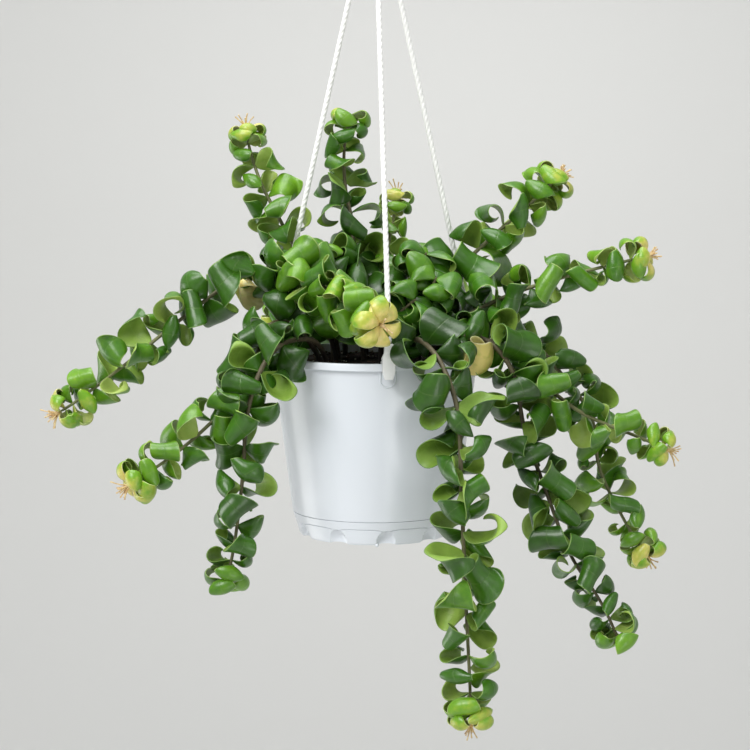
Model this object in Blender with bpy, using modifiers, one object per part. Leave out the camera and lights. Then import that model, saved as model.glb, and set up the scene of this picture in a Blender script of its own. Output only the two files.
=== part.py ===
"""Potted lipstick plant with curled leaves, in a plastic hanging pot with a clip-on saucer.

Metres, +Z up.  The origin is the seat of the hanger's hook, the point that a ceiling hook or rail
carries, and everything hangs below it.  The front of the plant faces -Y.
"""
import math
import random

import bmesh
import bpy
from mathutils import Matrix, Vector
from mathutils.bvhtree import BVHTree

OBJECT_NAME = "potted_lipstick_plant"
MM = 0.001

# Clearances
GAP = 0.3 * MM              # between two pieces that touch
LEAF_CLEARANCE = 0.6 * MM   # kept free round a leaf

# Pot
RIM_RADIUS = 76 * MM        # outside of the lip
LIP_HEIGHT = 5 * MM
LIP_BEVEL = 1 * MM
LIP_OVERHANG = 2.6 * MM     # how far the lip stands out over the wall
POT_WALL = 1.8 * MM
SEAM_RADIUS = 59 * MM       # where the pot and the saucer meet
SEAM_DROP = 112 * MM        # from the rim down to that seam
FLOOR_DROP = 5.6 * MM       # from the seam down to the underside of the pot
EAR_HEIGHT = 9 * MM         # moulded ear under each clip
EAR_WIDTH = 11 * MM
EAR_RELIEF = 1.9 * MM       # half its thickness, most of it inside the wall
EAR_SHIFT = 0.4 * MM        # its middle, outside the wall
DRAIN_RADIUS = 4 * MM
DRAIN_CIRCLE = 34 * MM
DRAIN_COUNT = 6
DRAIN_SIDES = 12
POT_SIDES = 48              # flats round the pot and what fits inside it

# Saucer
SAUCER_HEIGHT = 17 * MM
SAUCER_WALL = 1.8 * MM
SAUCER_FLOOR = 1.8 * MM
FOOT_RADIUS = 54.5 * MM     # outside of the saucer at its foot
FOOT_CORNER = 2.5 * MM
FOOT_INSET = 2 * MM         # how much higher than the foot the floor's underside is
SAUCER_SIDES = 60
SCOOP_COUNT = 10
SCOOP_WIDTH = 13 * MM
SCOOP_SHARE = 0.59          # height of a scoop against the saucer's
SCOOP_DEPTH = 3.4 * MM
SCOOP_SHIFT = 0.6 * MM      # its middle, outside the foot
SCOOP_TURN = -82            # bearing of the first scoop, in degrees

# Potting mix
SOIL_DROP = 4 * MM          # from the rim down to its surface
SOIL_DOME = 3 * MM          # how much higher it stands in the middle

# Hanger
HANGER_DROP = 368 * MM      # from the hook's seat down to the rim
CLIP_BEARINGS = (-83, 26, 157)
CLIP_WIDTH = 9.6 * MM
CLIP_PLATE = 1.8 * MM
CLIP_JAW = 1.2 * MM
CLIP_REACH = 4 * MM         # how far the plate runs below the lip
CLIP_HEAD_HEIGHT = 14 * MM
CLIP_HEAD_DEPTH = 5 * MM
STRAND_DIAMETER = 3.9 * MM
STRAND_END = 0.2 * STRAND_DIAMETER      # kept free beyond each of its ends, besides the gap
STRAND_STEP = 2.8 * STRAND_DIAMETER     # length of one straight stretch of its tube
STRAND_SPREAD = 3.4 * MM    # from the hanger's axis to a strand at the collar
COLLAR_DROP = 44 * MM       # from the hook's seat down to the top of the collar
COLLAR_HEIGHT = 8 * MM
COLLAR_RADIUS = 6.6 * MM
HOOK_THICKNESS = 4.4 * MM
HOOK_BORE = 12 * MM         # inside radius of the hook
HOOK_START = 205            # where its bend starts, in degrees, and how it turns from there
HOOK_STEP = 15
HOOK_STEPS = 15
HOOK_NECK = ((0.45, -1.25), (0.06, -1.75))      # across and up, against the bend's radius
COLLAR_TAPER = 0.8          # top of the collar against its foot

# Plant
STEM_RADIUS = 1.5 * MM
NODE_LENGTH = 3 * MM        # stretch of stem that a pair of leaves grows from
LEAF_SPACING = 23 * MM      # from one pair of leaves to the next
BARE_LENGTH = 0.8 * LEAF_SPACING        # stem below the first pair
TIP_LENGTH = 3 * MM         # stem beyond the last pair
LEAF_THICKNESS = 1.6 * MM
LEAF_CURL = 8.8 * MM        # radius that a leaf of size 1 is rolled to
LEAF_WIDTH = 23 * MM        # across the blade of a leaf of size 1
LEAF_STALK = 2.5 * MM
LEAF_LIFT = 50              # degrees from straight out towards the tip, where the blade starts
LEAF_ROLL = 215             # degrees that it then turns through
LEAF_VARIETY = (0.88, 1.1)  # smallest and largest, against the stem's own size
LEAF_LAST = 0.75            # a leaf of the last pair, against the others
LEAF_TWIST = 25             # degrees that a blade may turn either way on its stalk
LEAF_STATIONS = ((0.30, 1.0), (0.66, 0.95), (1.0, 0.35))    # share of the roll, share of the width
LEAF_TRIES = ((1, 0), (1, 40), (1, -40), (0.85, 0), (0.85, 60), (0.85, -60), (0.7, 0), (0.7, 90),
              (0.6, 30), (0.6, -30), (0.5, 0))              # share of the size, turn in degrees
STEM_TAPER = (1.25, 0.65, 0.25)     # share of the radius at the soil, near the tip and at its end

# Each stem: its name, the size of its leaves, where it leaves the soil (bearing in degrees and share
# of the soil's radius), and the points that it passes: bearing in degrees, millimetres outside the
# rim (negative is inside) and millimetres above the rim.
STEMS = (
    ("branch_back_left_up", 0.85, (140, 0.50), (
        (146, -36, 25), (149, -17, 60), (150, 0, 87), (151, 18, 118), (149, 30, 142), (148, 35, 158))),
    ("branch_back_up", 1.05, (112, 0.30), (
        (118, -52, 25), (120, -46, 57), (115, -37, 90), (117, -29, 115), (114, -21, 143),
        (108, -18, 169))),
    ("branch_back_short", 0.8, (80, 0.35), (
        (80, -42, 35), (79, -25, 75), (79, 2, 98), (79, 9, 108))),
    ("branch_right_up", 1.0, (30, 0.45), (
        (16, -38, 25), (10, -18, 56), (13, 12, 83), (15, 39, 104), (16, 61, 123))),
    ("branch_right_reach", 1.0, (-4, 0.45), (
        (-6, -25, 18), (-7, 6, 36), (-7, 41, 50), (-7, 83, 62), (-7, 115, 70))),
    ("branch_right_low", 0.9, (-20, 0.68), (
        (-21, -14, 12), (-20, 16, 9), (-21, 50, -18), (-19, 78, -38), (-17, 115, -53), (-16, 134, -61))),
    ("branch_right_fall", 1.0, (6, 0.74), (
        (4, -8, 16), (1, 27, 15), (0, 63, -23), (0, 79, -48), (0, 85, -84), (0, 103, -121),
        (0, 120, -148))),
    ("branch_right_hang", 1.0, (-36, 0.66), (
        (-34, -15, 14), (-32, 13, 14), (-30, 33, -7), (-28, 41, -48), (-26, 55, -89), (-24, 72, -134),
        (-22, 92, -166), (-21, 106, -195))),
    ("branch_front_hang", 1.15, (-62, 0.62), (
        (-66, -16, 14), (-65, 4, 14), (-64, 28, 0), (-62, 42, -30), (-62, 47, -81), (-61, 49, -148),
        (-60, 52, -215), (-60, 53, -240))),
    ("branch_left_long", 0.95, (-174, 0.40), (
        (-173, -35, 30), (-171, -10, 60), (-168, 24, 53), (-168, 63, 26), (-167, 102, -4),
        (-167, 135, -28), (-167, 148, -36))),
    ("branch_left_low", 1.0, (-158, 0.62), (
        (-158, -14, 22), (-152, 8, 22), (-145, 28, -8), (-144, 51, -31), (-147, 81, -57),
        (-149, 116, -79))),
    ("branch_left_hang", 0.95, (-134, 0.70), (
        (-134, -12, 14), (-134, 17, 12), (-135, 35, -6), (-136, 45, -37), (-136, 48, -71),
        (-137, 54, -119), (-139, 59, -152))),
    ("branch_front_tip", 0.9, (178, 0.42), (
        (177, -42, 30), (-171, -24, 54), (-153, -15, 62), (-117, -8, 49), (-95, 19, 35), (-88, 34, 30))),
    ("branch_crown_middle", 1.3, (20, 0.10), (
        (10, -62, 30), (-8, -48, 52), (-18, -38, 72))),
    ("branch_crown_front", 1.2, (-80, 0.36), (
        (-76, -46, 14), (-68, -34, 30), (-60, -20, 42))),
    ("branch_crown_left", 1.1, (-172, 0.12), (
        (170, -60, 30), (165, -50, 55), (160, -42, 75))),
    ("branch_crown_right", 1.1, (-30, 0.36), (
        (-34, -42, 24), (-36, -30, 42), (-38, -22, 56))),
    ("branch_back_reach_right", 1.0, (50, 0.62), (
        (50, -14, 22), (49, 14, 32), (48, 34, 30), (48, 48, 20))),
    ("branch_back_reach_left", 1.0, (128, 0.66), (
        (128, -12, 20), (127, 14, 28), (126, 34, 26), (125, 50, 14))),
    ("branch_back_hang", 1.0, (98, 0.66), (
        (96, -12, 16), (94, 16, 16), (92, 35, -12), (91, 42, -50), (90, 44, -88))),
    ("branch_back_hang_right", 1.0, (72, 0.74), (
        (72, -8, 14), (72, 16, 14), (72, 34, -8), (73, 41, -40), (73, 43, -62))),
    ("branch_back_hang_left", 1.0, (113, 0.80), (
        (113, -6, 14), (112, 18, 12), (111, 35, -14), (110, 42, -44), (110, 43, -66))),
)

# Heights and radii that the sizes above set
RIM_Z = -HANGER_DROP
SEAM_Z = RIM_Z - SEAM_DROP
FLOOR_Z = SEAM_Z - FLOOR_DROP
FOOT_Z = SEAM_Z - SAUCER_HEIGHT
SCOOP_HEIGHT = SCOOP_SHARE * SAUCER_HEIGHT
LIP_Z = RIM_Z - LIP_HEIGHT
SOIL_Z = RIM_Z - SOIL_DROP
SPIGOT_RADIUS = SEAM_RADIUS - SAUCER_WALL - GAP     # pot's foot at the seam, inside the saucer
WELL_RADIUS = SPIGOT_RADIUS - POT_WALL              # inside of the pot at the seam
SPIGOT_TAPER = FLOOR_DROP * (SEAM_RADIUS - FOOT_RADIUS) / (SAUCER_HEIGHT - FOOT_CORNER)
COLLAR_TOP_Z = -COLLAR_DROP
COLLAR_Z = COLLAR_TOP_Z - COLLAR_HEIGHT
CLIP_INNER = RIM_RADIUS + GAP
CLIP_MIDDLE = CLIP_INNER + CLIP_PLATE / 2
CLIP_TOP_Z = RIM_Z + CLIP_HEAD_HEIGHT


def wall_radius(z):
    """Outside radius of the pot's tapered wall at height z."""
    share = (LIP_Z - z) / (LIP_Z - SEAM_Z)
    return RIM_RADIUS - LIP_OVERHANG - share * (RIM_RADIUS - LIP_OVERHANG - SEAM_RADIUS)


def inner_radius(z):
    """Inside radius of the pot at height z, above the saucer's seam."""
    share = (LIP_Z - z) / (LIP_Z - SEAM_Z)
    top = wall_radius(LIP_Z) - POT_WALL
    return top - share * (top - WELL_RADIUS)


def polar(bearing, radius, z):
    """Point at a bearing in degrees, counted from +X towards +Y."""
    angle = math.radians(bearing)
    return Vector((radius * math.cos(angle), radius * math.sin(angle), z))


# ---------------------------------------------------------------- scene helpers

def empty_scene():
    for thing in list(bpy.data.objects):
        bpy.data.objects.remove(thing, do_unlink=True)


def new_collection(name):
    collection = bpy.data.collections.new(name)
    bpy.context.scene.collection.children.link(collection)
    return collection


def plain_material(name, colour, roughness):
    material = bpy.data.materials.new(name)
    material.use_nodes = True
    shader = material.node_tree.nodes["Principled BSDF"]
    shader.inputs["Base Color"].default_value = (*colour, 1.0)
    shader.inputs["Roughness"].default_value = roughness
    shader.inputs["Metallic"].default_value = 0.0
    material.diffuse_color = (*colour, 1.0)
    return material


def add_object(name, data, material):
    thing = bpy.data.objects.new(name, data)
    parts.objects.link(thing)
    data.materials.append(material)
    return thing


def mesh_from(bm, name):
    mesh = bpy.data.meshes.new(name)
    bm.to_mesh(mesh)
    bm.free()
    return mesh


def turned(name, profile, steps, material):
    """Turn a profile of (radius, z), down its outer side, about the Z axis."""
    mesh = bpy.data.meshes.new(name)
    edges = [(i, i + 1) for i in range(len(profile) - 1)]
    mesh.from_pydata([(radius, 0.0, z) for radius, z in profile], edges, [])
    thing = add_object(name, mesh, material)
    screw = thing.modifiers.new("Turn", "SCREW")
    screw.steps = steps
    screw.render_steps = steps
    screw.use_merge_vertices = True
    screw.merge_threshold = 0.00001
    return thing


def cutter_object(name, bm):
    cutter = bpy.data.objects.new(name, mesh_from(bm, name))
    cutters.objects.link(cutter)
    cutter.hide_render = True
    cutter.display_type = "WIRE"
    return cutter


def boolean(thing, cutter, operation):
    modifier = thing.modifiers.new(cutter.name, "BOOLEAN")
    modifier.operation = operation
    modifier.solver = "EXACT"
    modifier.object = cutter


# ---------------------------------------------------------------- pot, saucer, soil

def make_pot():
    inner_floor = FLOOR_Z + POT_WALL
    profile = (
        (0, inner_floor),
        (WELL_RADIUS - SPIGOT_TAPER, inner_floor),
        (WELL_RADIUS, SEAM_Z),
        (inner_radius(LIP_Z), LIP_Z),
        (inner_radius(RIM_Z), RIM_Z),
        (RIM_RADIUS - LIP_BEVEL, RIM_Z),
        (RIM_RADIUS, RIM_Z - LIP_BEVEL),
        (RIM_RADIUS, LIP_Z),
        (wall_radius(LIP_Z), LIP_Z),
        (SEAM_RADIUS, SEAM_Z),
        (SPIGOT_RADIUS, SEAM_Z),
        (SPIGOT_RADIUS - SPIGOT_TAPER, FLOOR_Z),
        (0, FLOOR_Z),
    )
    pot = turned("pot", profile, POT_SIDES, white_plastic)
    ears = bmesh.new()
    ear_z = LIP_Z - CLIP_JAW - 2 * GAP - EAR_HEIGHT / 2
    lean = math.atan2(RIM_RADIUS - LIP_OVERHANG - SEAM_RADIUS, LIP_Z - SEAM_Z)
    for bearing in CLIP_BEARINGS:
        place = Matrix.Translation(polar(bearing, wall_radius(ear_z) + EAR_SHIFT, ear_z))
        turn = Matrix.Rotation(math.radians(bearing), 4, "Z") @ Matrix.Rotation(lean, 4, "Y")
        size = Matrix.Diagonal((EAR_RELIEF, EAR_WIDTH / 2, EAR_HEIGHT / 2, 1))
        bmesh.ops.create_uvsphere(ears, u_segments=12, v_segments=8, radius=1,
                                  matrix=place @ turn @ size)
    boolean(pot, cutter_object("pot_ears", ears), "UNION")
    drains = bmesh.new()
    for i in range(DRAIN_COUNT):
        centre = polar(i * 360 / DRAIN_COUNT, DRAIN_CIRCLE, FLOOR_Z + POT_WALL / 2)
        bmesh.ops.create_cone(drains, cap_ends=True, segments=DRAIN_SIDES, radius1=DRAIN_RADIUS,
                              radius2=DRAIN_RADIUS, depth=3 * POT_WALL,
                              matrix=Matrix.Translation(centre))
    boolean(pot, cutter_object("drain_holes", drains), "DIFFERENCE")


def make_saucer():
    top = SEAM_Z - GAP
    ledge = FLOOR_Z - GAP
    floor_top = FOOT_Z + FOOT_CORNER + SAUCER_FLOOR
    well = FOOT_RADIUS - SCOOP_DEPTH - SAUCER_WALL
    profile = (
        (0, floor_top),
        (well, floor_top),
        (well, ledge),
        (SEAM_RADIUS - SAUCER_WALL - SPIGOT_TAPER, ledge),
        (SEAM_RADIUS - SAUCER_WALL, top),
        (SEAM_RADIUS, top),
        (FOOT_RADIUS, FOOT_Z + FOOT_CORNER),
        (FOOT_RADIUS - 0.3 * FOOT_CORNER, FOOT_Z + 0.3 * FOOT_CORNER),
        (FOOT_RADIUS - FOOT_CORNER, FOOT_Z),
        (well, FOOT_Z),
        (well - FOOT_INSET, FOOT_Z + FOOT_INSET),
        (0, FOOT_Z + FOOT_INSET),
    )
    saucer = turned("saucer", profile, SAUCER_SIDES, white_plastic)
    scoops = bmesh.new()
    for i in range(SCOOP_COUNT):
        bearing = SCOOP_TURN + i * 360 / SCOOP_COUNT
        place = Matrix.Translation(polar(bearing, FOOT_RADIUS + SCOOP_SHIFT, FOOT_Z))
        turn = Matrix.Rotation(math.radians(bearing), 4, "Z")
        size = Matrix.Diagonal((SCOOP_DEPTH, SCOOP_WIDTH / 2, SCOOP_HEIGHT, 1))
        bmesh.ops.create_uvsphere(scoops, u_segments=12, v_segments=8, radius=1,
                                  matrix=place @ turn @ size)
    boolean(saucer, cutter_object("saucer_scoops", scoops), "DIFFERENCE")


def make_soil():
    bottom = FLOOR_Z + POT_WALL + GAP
    profile = (
        (0, SOIL_Z),
        (soil_radius(), SOIL_Z - SOIL_DOME),
        (WELL_RADIUS - GAP, SEAM_Z),
        (WELL_RADIUS - SPIGOT_TAPER - GAP, bottom),
        (0, bottom),
    )
    turned("potting_mix", profile, POT_SIDES, dark_soil)


def soil_radius():
    return inner_radius(SOIL_Z - SOIL_DOME) - GAP


def soil_surface(radius):
    """Height of the domed surface of the potting mix at a distance from its middle."""
    return SOIL_Z - SOIL_DOME * radius / soil_radius()


# ---------------------------------------------------------------- hanger

def tube(name, points, diameter, resolution, material):
    curve = bpy.data.curves.new(name, "CURVE")
    curve.dimensions = "3D"
    curve.bevel_depth = diameter / 2
    curve.bevel_resolution = resolution
    curve.use_fill_caps = True
    spline = curve.splines.new("POLY")
    spline.points.add(len(points) - 1)
    for target, point in zip(spline.points, points):
        target.co = (*point, 1.0)
    return add_object(name, curve, material)


def strand_ends(bearing):
    """Bottom and top of the strand at a bearing."""
    bottom = polar(bearing, CLIP_MIDDLE, CLIP_TOP_Z + GAP + STRAND_END)
    top = polar(bearing, STRAND_SPREAD, COLLAR_Z - GAP - STRAND_END)
    return bottom, top


def strand_points(bearing):
    bottom, top = strand_ends(bearing)
    count = round((top - bottom).length / STRAND_STEP)
    return [bottom.lerp(top, i / count) for i in range(count + 1)]


def make_hanger():
    for number, bearing in enumerate(CLIP_BEARINGS, 1):
        tube("hanger_strand_%d" % number, strand_points(bearing), STRAND_DIAMETER, 2, white_cord)
        make_clip("hanger_clip_%d" % number, bearing)
    make_hook()


def make_clip(name, bearing):
    """A flat plate outside the lip, with a jaw over the rim and another under the lip."""
    outer = CLIP_INNER + CLIP_PLATE
    inner_face = inner_radius(LIP_Z) - 2 * GAP
    over = RIM_Z + GAP
    under = LIP_Z - GAP
    head = CLIP_HEAD_DEPTH / 2
    shoulder = CLIP_TOP_Z - CLIP_HEAD_DEPTH
    outline = (
        (outer, LIP_Z - CLIP_REACH),
        (outer, shoulder - CLIP_JAW),
        (CLIP_MIDDLE + head, shoulder),
        (CLIP_MIDDLE + head, CLIP_TOP_Z),
        (CLIP_MIDDLE - head, CLIP_TOP_Z),
        (CLIP_MIDDLE - head, shoulder),
        (CLIP_INNER, shoulder - CLIP_JAW),
        (CLIP_INNER, over + CLIP_JAW),
        (inner_face - CLIP_JAW, over + CLIP_JAW),
        (inner_face - CLIP_JAW, LIP_Z + LIP_HEIGHT / 2),
        (inner_face, LIP_Z + LIP_HEIGHT / 2),
        (inner_face, over),
        (CLIP_INNER, over),
        (CLIP_INNER, under),
        (wall_radius(LIP_Z) + GAP, under),
        (wall_radius(LIP_Z) + GAP, under - CLIP_JAW),
        (CLIP_INNER, under - CLIP_JAW),
        (CLIP_INNER, LIP_Z - CLIP_REACH),
    )
    curve = bpy.data.curves.new(name, "CURVE")
    curve.dimensions = "2D"
    curve.fill_mode = "BOTH"
    curve.extrude = CLIP_WIDTH / 2
    spline = curve.splines.new("POLY")
    spline.points.add(len(outline) - 1)
    for target, (radius, z) in zip(spline.points, outline):
        target.co = (radius, z, 0.0, 1.0)
    spline.use_cyclic_u = True
    clip = add_object(name, curve, white_plastic)
    clip.rotation_euler = (math.radians(90), 0, math.radians(bearing))


def make_hook():
    """Collar that the strands end in, with a shank and an open hook bent from one rod."""
    line = HOOK_BORE + HOOK_THICKNESS / 2
    centre = -HOOK_BORE
    points = []
    for step in range(HOOK_STEPS):
        angle = math.radians(HOOK_START - step * HOOK_STEP)
        points.append(Vector((line * math.cos(angle), 0, centre + line * math.sin(angle))))
    points += [Vector((across * line, 0, centre + up * line)) for across, up in HOOK_NECK]
    points.append(Vector((0, 0, COLLAR_TOP_Z - COLLAR_HEIGHT / 2)))
    rod = tube("hook_rod", points, HOOK_THICKNESS, 2, white_plastic)
    mesh = bpy.data.meshes.new_from_object(rod.evaluated_get(bpy.context.evaluated_depsgraph_get()))
    bpy.data.objects.remove(rod, do_unlink=True)
    mesh.name = "hanger_hook"
    bm = bmesh.new()
    bm.from_mesh(mesh)
    bmesh.ops.remove_doubles(bm, verts=bm.verts, dist=0.00001)
    bmesh.ops.recalc_face_normals(bm, faces=bm.faces)
    bm.to_mesh(mesh)
    bm.free()
    mesh.materials.clear()
    hook = add_object("hanger_hook", mesh, white_plastic)
    collar = bmesh.new()
    bmesh.ops.create_cone(collar, cap_ends=True, segments=20, radius1=COLLAR_RADIUS,
                          radius2=COLLAR_TAPER * COLLAR_RADIUS, depth=COLLAR_HEIGHT,
                          matrix=Matrix.Translation((0, 0, (COLLAR_Z + COLLAR_TOP_Z) / 2)))
    boolean(hook, cutter_object("hook_collar", collar), "UNION")


# ---------------------------------------------------------------- plant

def smooth_line(points, per_span=10):
    """Dense polyline on a Catmull-Rom curve through the points."""
    ends = [points[0] * 2 - points[1]] + points + [points[-1] * 2 - points[-2]]
    line = []
    for i in range(1, len(ends) - 2):
        before, start, end, after = ends[i - 1:i + 3]
        for step in range(per_span):
            t = step / per_span
            slope = (end - before) * t
            bend = (2 * before - 5 * start + 4 * end - after) * t ** 2
            twist = (3 * start - before - 3 * end + after) * t ** 3
            line.append((2 * start + slope + bend + twist) / 2)
    line.append(points[-1])
    return line


def stem_line(root, route):
    """Centre line of a stem, from the surface of the potting mix along its route."""
    bearing, share = root
    radius = share * soil_radius()
    start = polar(bearing, radius, soil_surface(radius) + 2 * GAP)
    points = [start, start + Vector((0, 0, 8 * MM))]
    for bearing, beyond, above in route:
        points.append(polar(bearing, RIM_RADIUS + beyond * MM, RIM_Z + above * MM))
    return smooth_line(points)


def stem_stations(line, first_leaf):
    """Frames at both ends of every node: a matrix whose Z runs along the stem."""
    lengths = [0.0]
    for start, end in zip(line, line[1:]):
        lengths.append(lengths[-1] + (end - start).length)
    total = lengths[-1]
    last_leaf = total - NODE_LENGTH - TIP_LENGTH
    count = max(1, round((last_leaf - first_leaf) / LEAF_SPACING))
    distances = [0.0]
    for i in range(count + 1):
        place = first_leaf + i * (last_leaf - first_leaf) / count
        distances += [place, place + NODE_LENGTH]
    distances.append(total)
    frames = []
    side = Vector((1, 0, 0))
    span = 0
    for distance in distances:
        while span < len(line) - 2 and lengths[span + 1] < distance:
            span += 1
        share = (distance - lengths[span]) / (lengths[span + 1] - lengths[span])
        ahead = (line[span + 1] - line[span]).normalized()
        if distance == 0.0:
            ahead = Vector((0, 0, 1))
        side = (side - ahead * side.dot(ahead)).normalized()
        basis = Matrix((side, ahead.cross(side), ahead)).transposed().to_4x4()
        frames.append(Matrix.Translation(line[span].lerp(line[span + 1], share)) @ basis)
    return frames


def grow_stem(frames):
    """Square tube through the frames.  Returns it with the four side faces of every node."""
    bm = bmesh.new()
    quarter = Matrix.Rotation(math.radians(45), 4, "Z")
    thick, thin, end = STEM_TAPER
    start = frames[0] @ Matrix.Scale(thick * STEM_RADIUS, 4) @ quarter
    bmesh.ops.create_circle(bm, cap_ends=True, segments=4, radius=1, matrix=start)
    bm.faces.ensure_lookup_table()
    face = bm.faces[0]
    sides = []
    last = start
    for index, frame in enumerate(frames[1:], 1):
        taper = thick - (thick - thin) * index / (len(frames) - 1)
        if index == len(frames) - 1:
            taper = end
        place = frame @ Matrix.Scale(taper * STEM_RADIUS, 4) @ quarter
        face = bmesh.ops.extrude_discrete_faces(bm, faces=[face])["faces"][0]
        bmesh.ops.transform(bm, matrix=place @ last.inverted(), verts=face.verts)
        last = place
        if index % 2 == 0 and index < len(frames) - 1:
            sides.append([edge.link_faces[0] if edge.link_faces[0] != face else edge.link_faces[1]
                          for edge in face.edges])
    bmesh.ops.holes_fill(bm, edges=bm.edges, sides=4)
    bmesh.ops.recalc_face_normals(bm, faces=bm.faces)
    return bm, sides


def leaf_sections(face, along, size, twist):
    """Frames of a leaf's cross-sections, from the stem's face to the rolled-in tip.

    A section is one unit wide and one thick before its frame's scale.  The blade leaves the stem
    outwards and towards the tip, and rolls over backwards, so its upper side is the outside."""
    out = face.normal.copy()
    along = (along - out * along.dot(out)).normalized()
    across = along.cross(out)
    centre = face.calc_center_median()
    widths = [abs((vert.co - centre).dot(across)) for vert in face.verts]
    heights = [abs((vert.co - centre).dot(along)) for vert in face.verts]
    basis = Matrix((across, along, out)).transposed().to_4x4()
    scale = Matrix.Diagonal((2 * max(widths), 2 * max(heights), 1, 1))
    sections = [Matrix.Translation(centre) @ basis @ scale]
    turn = Matrix.Rotation(math.radians(twist), 3, out)
    along = turn @ along
    across = turn @ across
    radius = size * LEAF_CURL
    lift = math.radians(LEAF_LIFT)
    start = centre + out * LEAF_STALK
    for share, width in LEAF_STATIONS:
        angle = lift - math.radians(LEAF_ROLL) * share
        heading = out * math.cos(angle) + along * math.sin(angle)
        normal = along * math.cos(angle) - out * math.sin(angle)
        place = start + radius * (out * (math.sin(lift) - math.sin(angle))
                                  + along * (math.cos(angle) - math.cos(lift)))
        basis = Matrix((across, normal, heading)).transposed().to_4x4()
        scale = Matrix.Diagonal((width * size * LEAF_WIDTH, LEAF_THICKNESS, 1, 1))
        sections.append(Matrix.Translation(place) @ basis @ scale)
    return sections


def section_tree(sections, clearance):
    """Search tree of the leaf's surface, made thicker and wider by a clearance."""
    corners = []
    for section in sections:
        width, thickness, _ = section.to_scale()
        grow = Matrix.Diagonal((1 + 2 * clearance / width, 1 + 2 * clearance / thickness, 1, 1))
        for x, y in ((-0.5, -0.5), (0.5, -0.5), (0.5, 0.5), (-0.5, 0.5)):
            corners.append(section @ grow @ Vector((x, y, 0)))
    quads = []
    for first in range(0, len(corners) - 4, 4):
        for i in range(4):
            j = (i + 1) % 4
            quads.append((first + i, first + j, first + 4 + j, first + 4 + i))
    quads.append(tuple(range(len(corners) - 4, len(corners))))
    return BVHTree.FromPolygons(corners, quads)


def grow_leaf(bm, face, sections):
    last = sections[0]
    for section in sections[1:]:
        face = bmesh.ops.extrude_discrete_faces(bm, faces=[face])["faces"][0]
        bmesh.ops.transform(bm, matrix=section @ last.inverted(), verts=face.verts)
        last = section


def evaluated_tree(thing):
    depsgraph = bpy.context.evaluated_depsgraph_get()
    source = thing.evaluated_get(depsgraph)
    mesh = source.to_mesh()
    points = [thing.matrix_world @ vert.co for vert in mesh.vertices]
    tree = BVHTree.FromPolygons(points, [tuple(face.vertices) for face in mesh.polygons])
    source.to_mesh_clear()
    return tree


def make_plant():
    """Grow every stem first, then give each its leaves where nothing else is in their way."""
    bpy.context.view_layer.update()
    taken = [evaluated_tree(thing) for thing in parts.objects]
    stems = []
    for name, size, root, route in STEMS:
        frames = stem_stations(stem_line(root, route), BARE_LENGTH)
        bm, sides = grow_stem(frames)
        stems.append((name, size, frames, bm, sides, BVHTree.FromBMesh(bm)))
    for number, (name, size, frames, bm, sides, own) in enumerate(stems):
        others = [stem[5] for stem in stems if stem[0] != name]
        chance = random.Random(40 + number)
        for level, faces in enumerate(sides):
            frame = frames[2 * level + 1]
            along = frame.to_3x3() @ Vector((0, 0, 1))
            turned_side = frame.to_3x3() @ (Vector((1, 0, 0)) if level % 2 else Vector((0, 1, 0)))
            faces.sort(key=lambda face: face.normal.dot(turned_side))
            for face in (faces[0], faces[-1]):
                scale = size * chance.uniform(*LEAF_VARIETY)
                if level == len(sides) - 1:
                    scale *= LEAF_LAST
                twist = chance.uniform(-LEAF_TWIST, LEAF_TWIST)
                sections = free_leaf(face, along, scale, twist, taken + others, own)
                if sections:
                    grow_leaf(bm, face, sections)
                    taken.append(section_tree(sections, 0))
        bmesh.ops.recalc_face_normals(bm, faces=bm.faces)
        add_object(name, mesh_from(bm, name), green_leaf)


def free_leaf(face, along, size, twist, taken, own):
    """Sections of the first try at a leaf that touches nothing, or None."""
    for smaller, turn in LEAF_TRIES:
        sections = leaf_sections(face, along, size * smaller, twist + turn)
        tree = section_tree(sections, LEAF_CLEARANCE)
        blade = section_tree(sections[1:], LEAF_CLEARANCE)
        if not blade.overlap(own) and not any(tree.overlap(other) for other in taken):
            return sections
    return None


empty_scene()
parts = new_collection(OBJECT_NAME)
cutters = new_collection(OBJECT_NAME + "_cutters")
white_plastic = plain_material("white_plastic", (0.80, 0.83, 0.84), 0.35)
white_cord = plain_material("white_cord", (0.90, 0.90, 0.88), 0.5)
dark_soil = plain_material("dark_soil", (0.02, 0.015, 0.01), 0.95)
green_leaf = plain_material("green_leaf", (0.06, 0.20, 0.03), 0.3)

make_pot()
make_saucer()
make_soil()
make_hanger()
make_plant()
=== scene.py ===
import math
import random

import bmesh
import bpy
from mathutils import Matrix, Vector, noise


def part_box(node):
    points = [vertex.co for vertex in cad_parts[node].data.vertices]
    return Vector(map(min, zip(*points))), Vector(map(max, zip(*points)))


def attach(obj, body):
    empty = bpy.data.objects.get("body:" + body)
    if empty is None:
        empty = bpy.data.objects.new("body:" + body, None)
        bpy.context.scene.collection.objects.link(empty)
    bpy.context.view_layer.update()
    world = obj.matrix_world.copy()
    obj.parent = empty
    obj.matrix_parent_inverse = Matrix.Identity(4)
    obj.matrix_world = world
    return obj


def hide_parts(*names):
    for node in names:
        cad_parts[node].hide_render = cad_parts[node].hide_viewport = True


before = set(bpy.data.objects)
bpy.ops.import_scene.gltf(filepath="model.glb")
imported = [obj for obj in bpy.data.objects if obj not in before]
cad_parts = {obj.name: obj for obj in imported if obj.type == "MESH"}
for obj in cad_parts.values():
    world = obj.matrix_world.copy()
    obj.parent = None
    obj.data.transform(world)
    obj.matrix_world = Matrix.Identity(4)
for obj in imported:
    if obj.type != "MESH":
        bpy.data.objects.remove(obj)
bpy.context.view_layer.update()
mm = 0.001

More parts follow.
